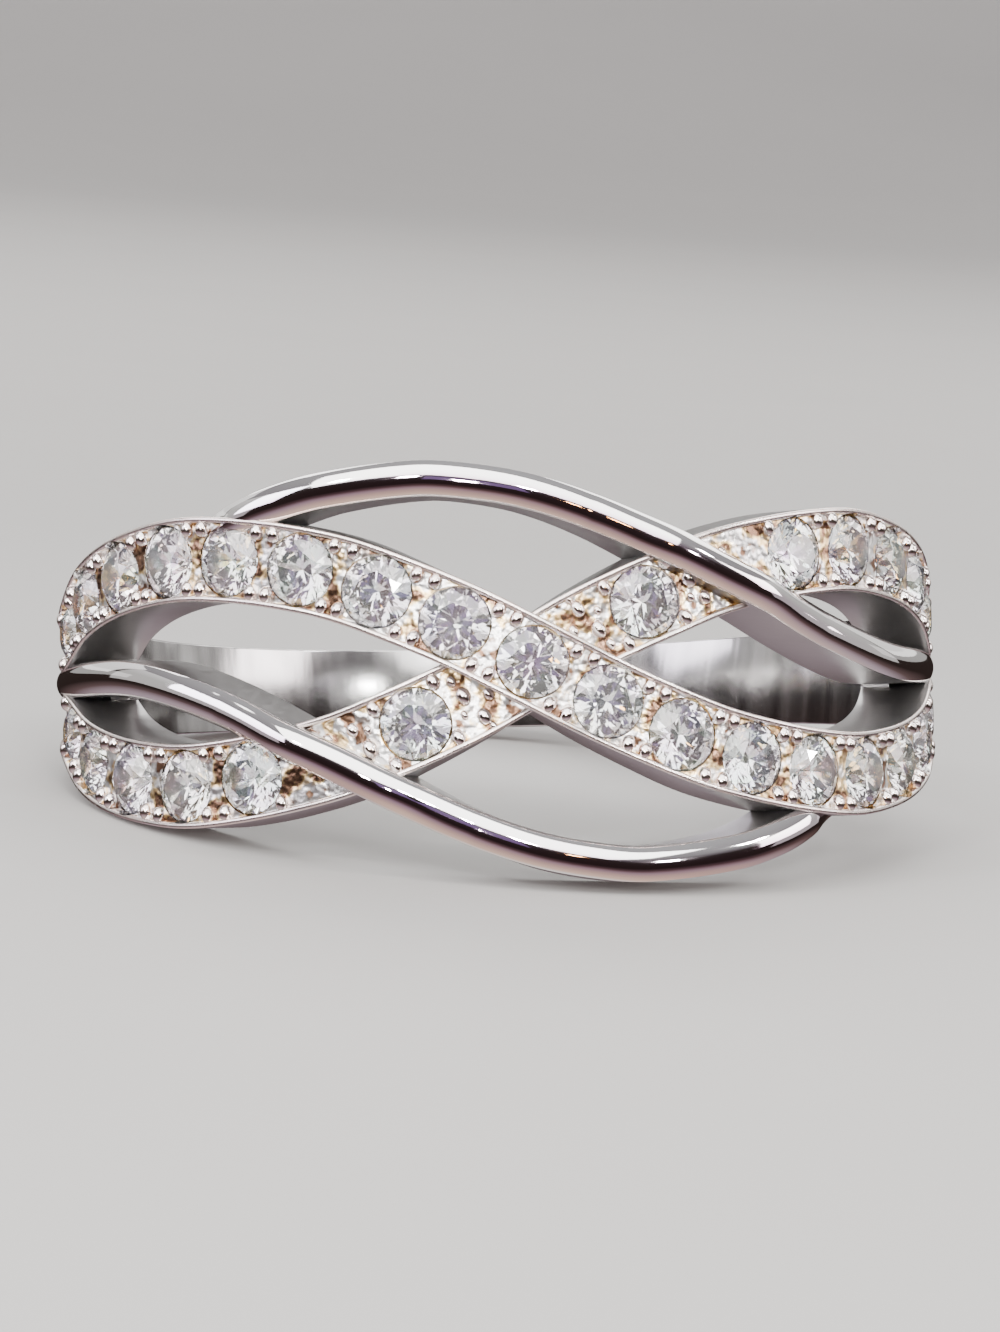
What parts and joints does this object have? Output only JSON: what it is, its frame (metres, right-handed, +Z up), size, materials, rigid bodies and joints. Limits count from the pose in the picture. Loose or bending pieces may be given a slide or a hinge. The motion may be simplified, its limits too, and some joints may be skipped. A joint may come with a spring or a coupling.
{
  "type": "crossover ring",
  "caption": "Polished finger ring: stone-set strands cross at the front, with plain domed strands woven over them, and all run into one slim shank.",
  "frame": {"origin": "centre of the bounding box at the table that the ring lies on", "axes": "+Z up from the table. The ring lies on its side as it comes to rest: the finger hole's axis is about 12 degrees off +Z because the wide front is raised. The stone-set front faces -Y and the shank is at +Y"},
  "size_m": [0.0206, 0.0208, 0.0089],
  "materials": {
    "white_metal": "mirror polish, rhodium-plated silver",
    "white_stone": "clear round brilliant cut"
  },
  "bodies": {
    "root": {"band": "white_metal", "over_stone_01": "white_stone", "over_stone_02": "white_stone", "over_stone_03": "white_stone", "over_stone_04": "white_stone", "over_stone_05": "white_stone", "over_stone_06": "white_stone", "over_stone_07": "white_stone", "over_stone_08": "white_stone", "over_stone_09": "white_stone", "over_stone_10": "white_stone", "over_stone_11": "white_stone", "over_stone_12": "white_stone", "over_stone_13": "white_stone", "over_stone_14": "white_stone", "over_stone_15": "white_stone", "over_stone_16": "white_stone", "over_stone_17": "white_stone", "under_stone_01": "white_stone", "under_stone_02": "white_stone", "under_stone_03": "white_stone", "under_stone_04": "white_stone", "under_stone_05": "white_stone", "under_stone_06": "white_stone", "under_stone_07": "white_stone", "under_stone_08": "white_stone", "under_stone_09": "white_stone", "under_stone_10": "white_stone", "under_stone_11": "white_stone", "under_stone_12": "white_stone"}
  },
  "joints": []
}
